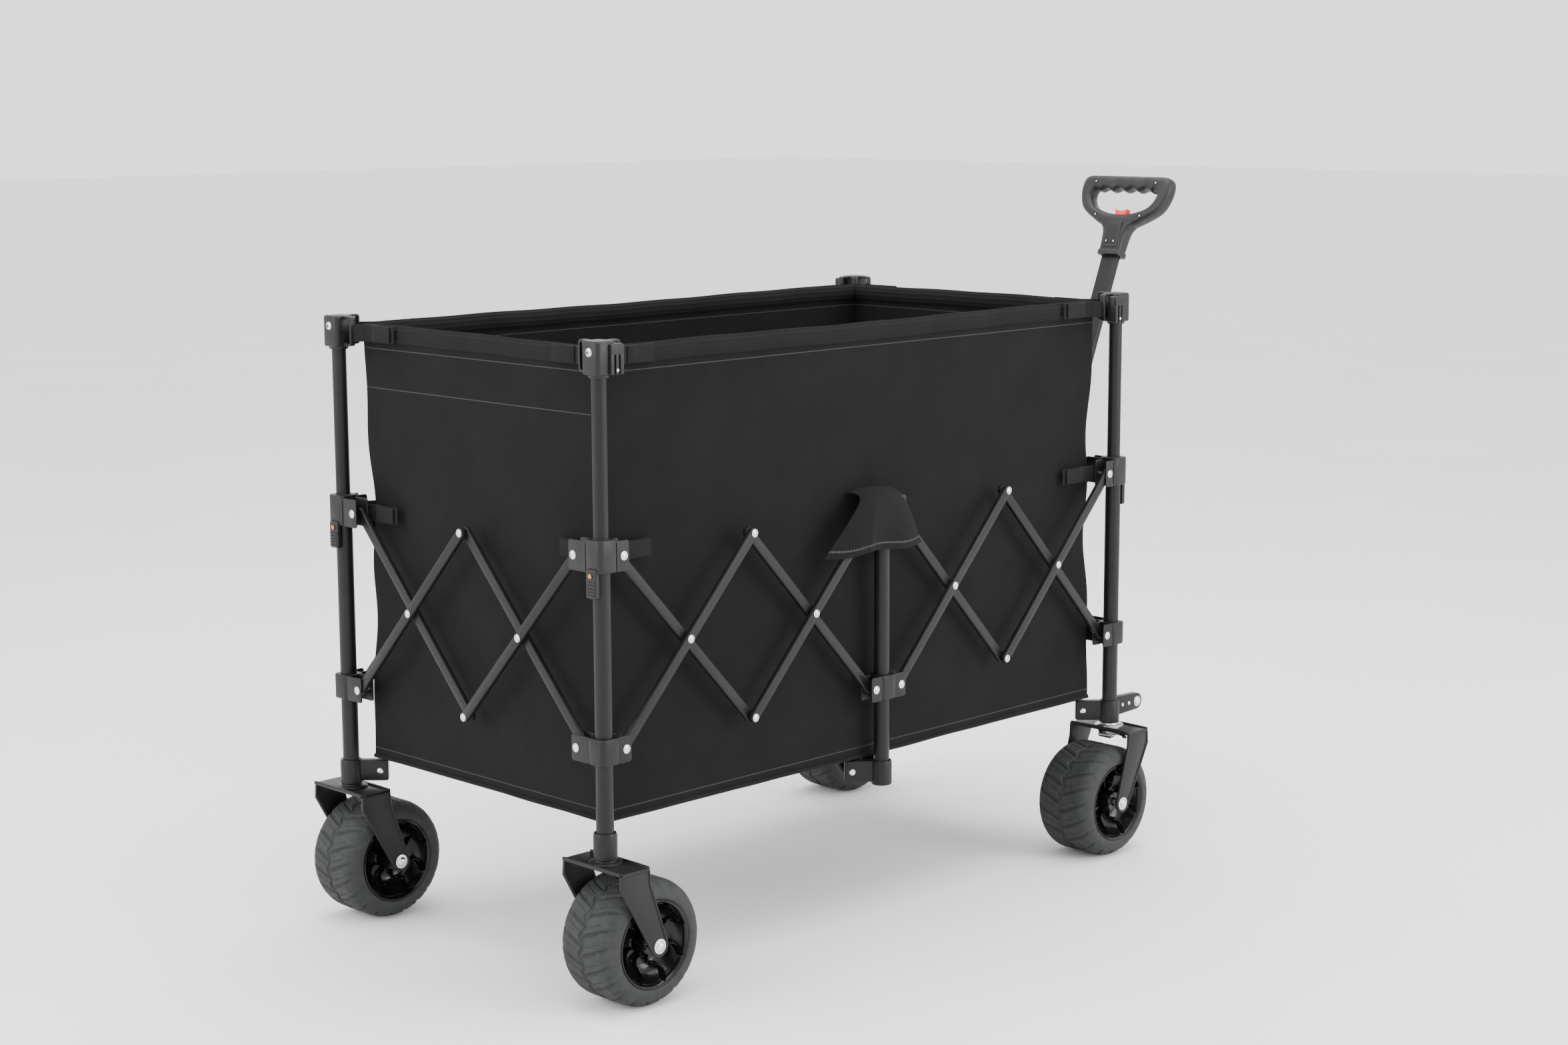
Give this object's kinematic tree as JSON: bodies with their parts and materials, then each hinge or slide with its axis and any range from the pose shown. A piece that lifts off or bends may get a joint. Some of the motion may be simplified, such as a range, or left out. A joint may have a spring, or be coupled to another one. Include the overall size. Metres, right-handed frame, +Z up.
{
  "type": "folding wagon with pull handle",
  "caption": "Folding utility wagon with a deep fabric basket on a scissor frame, wide swivelling wheels with brakes and a telescoping pull handle.",
  "frame": {"origin": "middle of the whole wagon's footprint, handle included, at floor level", "axes": "+X towards the pull handle at the front, +Y to the wagon's left, +Z up"},
  "size_m": [1.5745, 0.7066, 1.0879],
  "materials": {
    "black_powder_coat": "satin black powder coat",
    "black_plastic": "fine-grained moulding",
    "grey_rubber": "dull dark grey tread",
    "black_gloss_plastic": "gloss black",
    "black_fabric": "matte woven polyester",
    "red_plastic": "bright red"
  },
  "bodies": {
    "bar_right_rear_1": {"bar_right_rear_1": "black_powder_coat"},
    "bar_right_rear_2": {"bar_right_rear_2": "black_powder_coat"},
    "bar_right_rear_3": {"bar_right_rear_3": "black_powder_coat"},
    "bar_right_rear_4": {"bar_right_rear_4": "black_powder_coat"},
    "bar_right_front_1": {"bar_right_front_1": "black_powder_coat"},
    "bar_right_front_2": {"bar_right_front_2": "black_powder_coat"},
    "bar_right_front_3": {"bar_right_front_3": "black_powder_coat"},
    "bar_right_front_4": {"bar_right_front_4": "black_powder_coat"},
    "bar_left_front_1": {"bar_left_front_1": "black_powder_coat"},
    "bar_left_front_2": {"bar_left_front_2": "black_powder_coat"},
    "bar_left_front_3": {"bar_left_front_3": "black_powder_coat"},
    "bar_left_front_4": {"bar_left_front_4": "black_powder_coat"},
    "bar_left_rear_1": {"bar_left_rear_1": "black_powder_coat"},
    "bar_left_rear_2": {"bar_left_rear_2": "black_powder_coat"},
    "bar_left_rear_3": {"bar_left_rear_3": "black_powder_coat"},
    "bar_left_rear_4": {"bar_left_rear_4": "black_powder_coat"},
    "bar_rear_1": {"bar_rear_1": "black_powder_coat"},
    "bar_rear_2": {"bar_rear_2": "black_powder_coat"},
    "bar_rear_3": {"bar_rear_3": "black_powder_coat"},
    "bar_rear_4": {"bar_rear_4": "black_powder_coat"},
    "bar_front_1": {"bar_front_1": "black_powder_coat"},
    "bar_front_2": {"bar_front_2": "black_powder_coat"},
    "bar_front_3": {"bar_front_3": "black_powder_coat"},
    "bar_front_4": {"bar_front_4": "black_powder_coat"},
    "corner_rear_right": {"leg_rear_right": "black_powder_coat", "upper_post_rear_right": "black_powder_coat", "fork_rear_right": "black_powder_coat"},
    "slider_rear_right": {"slider_rear_right": "black_powder_coat"},
    "wheel_rear_right": {"tyre_rear_right": "grey_rubber", "rim_rear_right": "black_gloss_plastic"},
    "corner_rear_left": {"leg_rear_left": "black_powder_coat", "upper_post_rear_left": "black_powder_coat", "fork_rear_left": "black_powder_coat"},
    "slider_rear_left": {"slider_rear_left": "black_powder_coat"},
    "wheel_rear_left": {"tyre_rear_left": "grey_rubber", "rim_rear_left": "black_gloss_plastic"},
    "fork_front_right": {"fork_front_right": "black_powder_coat"},
    "brake_front_right": {"brake_front_right": "black_powder_coat"},
    "corner_front_right": {"leg_front_right": "black_powder_coat", "upper_post_front_right": "black_powder_coat"},
    "slider_front_right": {"slider_front_right": "black_powder_coat"},
    "wheel_front_right": {"tyre_front_right": "grey_rubber", "rim_front_right": "black_gloss_plastic"},
    "fork_front_left": {"fork_front_left": "black_powder_coat"},
    "brake_front_left": {"brake_front_left": "black_powder_coat"},
    "corner_front_left": {"leg_front_left": "black_powder_coat", "upper_post_front_left": "black_powder_coat"},
    "slider_front_left": {"slider_front_left": "black_powder_coat"},
    "wheel_front_left": {"tyre_front_left": "grey_rubber", "rim_front_left": "black_gloss_plastic"},
    "middle_right": {"mid_post_right": "black_powder_coat", "basket": "black_fabric"},
    "middle_left": {"mid_post_left": "black_powder_coat"},
    "mid_slider_right": {"mid_slider_right": "black_powder_coat"},
    "mid_slider_left": {"mid_slider_left": "black_powder_coat"},
    "handle_stay": {"handle_stay": "black_powder_coat"},
    "handle_lower": {"handle_lower_tube": "black_powder_coat"},
    "handle_upper": {"handle_upper_tube": "black_powder_coat", "handle_grip": "black_plastic"},
    "release_button": {"release_button": "red_plastic"}
  },
  "joints": [
    {"name": "fold", "type": "hinge", "parent": "middle_right", "child": "bar_right_rear_4", "pos_m": [-0.2162, -0.2888, 0.627], "axis": [0, -1, 0], "range_deg": [0, 31.03], "deforming": ["basket"]},
    {"name": "fold_bar_right_rear_1", "type": "hinge", "parent": "bar_right_rear_4", "child": "bar_right_rear_1", "pos_m": [-0.4645, -0.2888, 0.361], "axis": [0, -1, 0], "range_deg": [-62.06, 0]},
    {"name": "fold_corner_rear_right", "type": "hinge", "parent": "bar_right_rear_1", "child": "corner_rear_right", "pos_m": [-0.7128, -0.2888, 0.627], "axis": [0, -1, 0], "range_deg": [0, 31.03]},
    {"name": "fold_bar_right_rear_2", "type": "hinge", "parent": "bar_right_rear_1", "child": "bar_right_rear_2", "pos_m": [-0.58865, -0.2888, 0.494], "axis": [0, -1, 0], "range_deg": [0, 62.06]},
    {"name": "fold_bar_right_rear_3", "type": "hinge", "parent": "bar_right_rear_4", "child": "bar_right_rear_3", "pos_m": [-0.34035, -0.2888, 0.494], "axis": [0, -1, 0], "range_deg": [-62.06, 0]},
    {"name": "fold_slider_rear_right", "type": "hinge", "parent": "bar_right_rear_2", "child": "slider_rear_right", "pos_m": [-0.7128, -0.2888, 0.361], "axis": [0, -1, 0], "range_deg": [-31.03, 0]},
    {"name": "fold_mid_slider_right", "type": "hinge", "parent": "bar_right_rear_3", "child": "mid_slider_right", "pos_m": [-0.2162, -0.2888, 0.361], "axis": [0, -1, 0], "range_deg": [0, 31.03]},
    {"name": "fold_bar_right_front_1", "type": "hinge", "parent": "middle_right", "child": "bar_right_front_1", "pos_m": [-0.1616, -0.2888, 0.627], "axis": [0, -1, 0], "range_deg": [-31.03, 0]},
    {"name": "fold_bar_right_front_4", "type": "hinge", "parent": "bar_right_front_1", "child": "bar_right_front_4", "pos_m": [0.0867, -0.2888, 0.361], "axis": [0, -1, 0], "range_deg": [0, 62.06]},
    {"name": "fold_corner_front_right", "type": "hinge", "parent": "bar_right_front_4", "child": "corner_front_right", "pos_m": [0.335, -0.2888, 0.627], "axis": [0, -1, 0], "range_deg": [-31.03, 0]},
    {"name": "fold_bar_right_front_2", "type": "hinge", "parent": "bar_right_front_1", "child": "bar_right_front_2", "pos_m": [-0.03745, -0.2888, 0.494], "axis": [0, -1, 0], "range_deg": [0, 62.06]},
    {"name": "fold_bar_right_front_3", "type": "hinge", "parent": "bar_right_front_4", "child": "bar_right_front_3", "pos_m": [0.21085, -0.2888, 0.494], "axis": [0, -1, 0], "range_deg": [-62.06, 0]},
    {"name": "fold_slider_front_right", "type": "hinge", "parent": "bar_right_front_3", "child": "slider_front_right", "pos_m": [0.335, -0.2888, 0.361], "axis": [0, -1, 0], "range_deg": [0, 31.03]},
    {"name": "fold_bar_rear_4", "type": "hinge", "parent": "corner_rear_right", "child": "bar_rear_4", "pos_m": [-0.7402, -0.2483, 0.627], "axis": [-1, 0, 0], "range_deg": [0, 31.03]},
    {"name": "fold_bar_rear_1", "type": "hinge", "parent": "bar_rear_4", "child": "bar_rear_1", "pos_m": [-0.7402, 0, 0.361], "axis": [-1, 0, 0], "range_deg": [-62.06, 0]},
    {"name": "fold_corner_rear_left", "type": "hinge", "parent": "bar_rear_1", "child": "corner_rear_left", "pos_m": [-0.7402, 0.2483, 0.627], "axis": [-1, 0, 0], "range_deg": [0, 31.03]},
    {"name": "fold_bar_rear_2", "type": "hinge", "parent": "bar_rear_1", "child": "bar_rear_2", "pos_m": [-0.7402, 0.12415, 0.494], "axis": [-1, 0, 0], "range_deg": [0, 62.06]},
    {"name": "fold_bar_rear_3", "type": "hinge", "parent": "bar_rear_4", "child": "bar_rear_3", "pos_m": [-0.7402, -0.12415, 0.494], "axis": [-1, 0, 0], "range_deg": [-62.06, 0]},
    {"name": "fold_slider_rear_left", "type": "hinge", "parent": "bar_rear_2", "child": "slider_rear_left", "pos_m": [-0.7402, 0.2483, 0.361], "axis": [-1, 0, 0], "range_deg": [-31.03, 0]},
    {"name": "fold_bar_front_1", "type": "hinge", "parent": "corner_front_right", "child": "bar_front_1", "pos_m": [0.3624, -0.2483, 0.627], "axis": [1, 0, 0], "range_deg": [-31.03, 0]},
    {"name": "fold_bar_front_4", "type": "hinge", "parent": "bar_front_1", "child": "bar_front_4", "pos_m": [0.3624, 0, 0.361], "axis": [1, 0, 0], "range_deg": [0, 62.06]},
    {"name": "fold_corner_front_left", "type": "hinge", "parent": "bar_front_4", "child": "corner_front_left", "pos_m": [0.3624, 0.2483, 0.627], "axis": [1, 0, 0], "range_deg": [-31.03, 0]},
    {"name": "fold_bar_front_2", "type": "hinge", "parent": "bar_front_1", "child": "bar_front_2", "pos_m": [0.3624, -0.12415, 0.494], "axis": [1, 0, 0], "range_deg": [0, 62.06]},
    {"name": "fold_bar_front_3", "type": "hinge", "parent": "bar_front_4", "child": "bar_front_3", "pos_m": [0.3624, 0.12415, 0.494], "axis": [1, 0, 0], "range_deg": [-62.06, 0]},
    {"name": "fold_slider_front_left", "type": "hinge", "parent": "bar_front_3", "child": "slider_front_left", "pos_m": [0.3624, 0.2483, 0.361], "axis": [1, 0, 0], "range_deg": [0, 31.03]},
    {"name": "fold_bar_left_front_1", "type": "hinge", "parent": "corner_front_left", "child": "bar_left_front_1", "pos_m": [0.335, 0.2888, 0.627], "axis": [0, 1, 0], "range_deg": [-31.03, 0]},
    {"name": "fold_bar_left_front_4", "type": "hinge", "parent": "bar_left_front_1", "child": "bar_left_front_4", "pos_m": [0.0867, 0.2888, 0.361], "axis": [0, 1, 0], "range_deg": [0, 62.06]},
    {"name": "fold_bar_left_front_2", "type": "hinge", "parent": "bar_left_front_1", "child": "bar_left_front_2", "pos_m": [0.21085, 0.2888, 0.494], "axis": [0, 1, 0], "range_deg": [0, 62.06]},
    {"name": "fold_bar_left_front_3", "type": "hinge", "parent": "bar_left_front_4", "child": "bar_left_front_3", "pos_m": [-0.03745, 0.2888, 0.494], "axis": [0, 1, 0], "range_deg": [-62.06, 0]},
    {"name": "fold_bar_left_rear_4", "type": "hinge", "parent": "corner_rear_left", "child": "bar_left_rear_4", "pos_m": [-0.7128, 0.2888, 0.627], "axis": [0, 1, 0], "range_deg": [0, 31.03]},
    {"name": "fold_bar_left_rear_1", "type": "hinge", "parent": "bar_left_rear_4", "child": "bar_left_rear_1", "pos_m": [-0.4645, 0.2888, 0.361], "axis": [0, 1, 0], "range_deg": [-62.06, 0]},
    {"name": "fold_middle_left", "type": "hinge", "parent": "bar_left_rear_1", "child": "middle_left", "pos_m": [-0.2162, 0.2888, 0.627], "axis": [0, 1, 0], "range_deg": [0, 31.03]},
    {"name": "fold_bar_left_rear_2", "type": "hinge", "parent": "bar_left_rear_1", "child": "bar_left_rear_2", "pos_m": [-0.34035, 0.2888, 0.494], "axis": [0, 1, 0], "range_deg": [0, 62.06]},
    {"name": "fold_bar_left_rear_3", "type": "hinge", "parent": "bar_left_rear_4", "child": "bar_left_rear_3", "pos_m": [-0.58865, 0.2888, 0.494], "axis": [0, 1, 0], "range_deg": [-62.06, 0]},
    {"name": "fold_mid_slider_left", "type": "hinge", "parent": "bar_left_rear_2", "child": "mid_slider_left", "pos_m": [-0.2162, 0.2888, 0.361], "axis": [0, 1, 0], "range_deg": [-31.03, 0]},
    {"name": "fold_handle_stay", "type": "hinge", "parent": "bar_front_2", "child": "handle_stay", "pos_m": [0.3624, 0, 0.627], "axis": [1, 0, 0], "range_deg": [-31.03, 0]},
    {"name": "handle_swing", "type": "hinge", "parent": "handle_stay", "child": "handle_lower", "pos_m": [0.4284, 0, 0.235], "axis": [0, 1, 0], "range_deg": [-22, 75]},
    {"name": "handle_slide", "type": "slide", "parent": "handle_lower", "child": "handle_upper", "axis": [0.3778, 0, 0.9259], "range_m": [-0.265, 0]},
    {"name": "button_press", "type": "slide", "parent": "handle_upper", "child": "release_button", "axis": [-0.3778, 0, -0.9259], "range_m": [0, 0.0038], "stiffness_N_per_m": 300, "springref_m": -0.002},
    {"name": "spin_rear_right", "type": "hinge", "parent": "corner_rear_right", "child": "wheel_rear_right", "pos_m": [-0.6972, -0.2888, 0.09], "axis": [0, 1, 0], "continuous": true},
    {"name": "spin_rear_left", "type": "hinge", "parent": "corner_rear_left", "child": "wheel_rear_left", "pos_m": [-0.6972, 0.2888, 0.09], "axis": [0, 1, 0], "continuous": true},
    {"name": "swivel_front_right", "type": "hinge", "parent": "corner_front_right", "child": "fork_front_right", "pos_m": [0.3624, -0.2888, 0.2055], "axis": [0, 0, 1], "continuous": true},
    {"name": "brake_front_right", "type": "hinge", "parent": "fork_front_right", "child": "brake_front_right", "pos_m": [0.3744, -0.2888, 0.19], "axis": [0, 1, 0], "range_deg": [-20, 0]},
    {"name": "spin_front_right", "type": "hinge", "parent": "fork_front_right", "child": "wheel_front_right", "pos_m": [0.3239, -0.2888, 0.09], "axis": [0, 1, 0], "continuous": true},
    {"name": "swivel_front_left", "type": "hinge", "parent": "corner_front_left", "child": "fork_front_left", "pos_m": [0.3624, 0.2888, 0.2055], "axis": [0, 0, 1], "continuous": true},
    {"name": "brake_front_left", "type": "hinge", "parent": "fork_front_left", "child": "brake_front_left", "pos_m": [0.3744, 0.2888, 0.19], "axis": [0, 1, 0], "range_deg": [-20, 0]},
    {"name": "spin_front_left", "type": "hinge", "parent": "fork_front_left", "child": "wheel_front_left", "pos_m": [0.3239, 0.2888, 0.09], "axis": [0, 1, 0], "continuous": true}
  ],
  "couplings": [
    {"joint": "fold_bar_right_rear_1", "follows": "fold", "ratio": -2},
    {"joint": "fold_corner_rear_right", "follows": "fold", "ratio": 1},
    {"joint": "fold_bar_right_rear_2", "follows": "fold", "ratio": 2},
    {"joint": "fold_bar_right_rear_3", "follows": "fold", "ratio": -2},
    {"joint": "fold_slider_rear_right", "follows": "fold", "ratio": -1},
    {"joint": "fold_mid_slider_right", "follows": "fold", "ratio": 1},
    {"joint": "fold_bar_right_front_1", "follows": "fold", "ratio": -1},
    {"joint": "fold_bar_right_front_4", "follows": "fold", "ratio": 2},
    {"joint": "fold_corner_front_right", "follows": "fold", "ratio": -1},
    {"joint": "fold_bar_right_front_2", "follows": "fold", "ratio": 2},
    {"joint": "fold_bar_right_front_3", "follows": "fold", "ratio": -2},
    {"joint": "fold_slider_front_right", "follows": "fold", "ratio": 1},
    {"joint": "fold_bar_rear_4", "follows": "fold", "ratio": 1},
    {"joint": "fold_bar_rear_1", "follows": "fold", "ratio": -2},
    {"joint": "fold_corner_rear_left", "follows": "fold", "ratio": 1},
    {"joint": "fold_bar_rear_2", "follows": "fold", "ratio": 2},
    {"joint": "fold_bar_rear_3", "follows": "fold", "ratio": -2},
    {"joint": "fold_slider_rear_left", "follows": "fold", "ratio": -1},
    {"joint": "fold_bar_front_1", "follows": "fold", "ratio": -1},
    {"joint": "fold_bar_front_4", "follows": "fold", "ratio": 2},
    {"joint": "fold_corner_front_left", "follows": "fold", "ratio": -1},
    {"joint": "fold_bar_front_2", "follows": "fold", "ratio": 2},
    {"joint": "fold_bar_front_3", "follows": "fold", "ratio": -2},
    {"joint": "fold_slider_front_left", "follows": "fold", "ratio": 1},
    {"joint": "fold_bar_left_front_1", "follows": "fold", "ratio": -1},
    {"joint": "fold_bar_left_front_4", "follows": "fold", "ratio": 2},
    {"joint": "fold_bar_left_front_2", "follows": "fold", "ratio": 2},
    {"joint": "fold_bar_left_front_3", "follows": "fold", "ratio": -2},
    {"joint": "fold_bar_left_rear_4", "follows": "fold", "ratio": 1},
    {"joint": "fold_bar_left_rear_1", "follows": "fold", "ratio": -2},
    {"joint": "fold_middle_left", "follows": "fold", "ratio": 1},
    {"joint": "fold_bar_left_rear_2", "follows": "fold", "ratio": 2},
    {"joint": "fold_bar_left_rear_3", "follows": "fold", "ratio": -2},
    {"joint": "fold_mid_slider_left", "follows": "fold", "ratio": -1},
    {"joint": "fold_handle_stay", "follows": "fold", "ratio": -1}
  ]
}
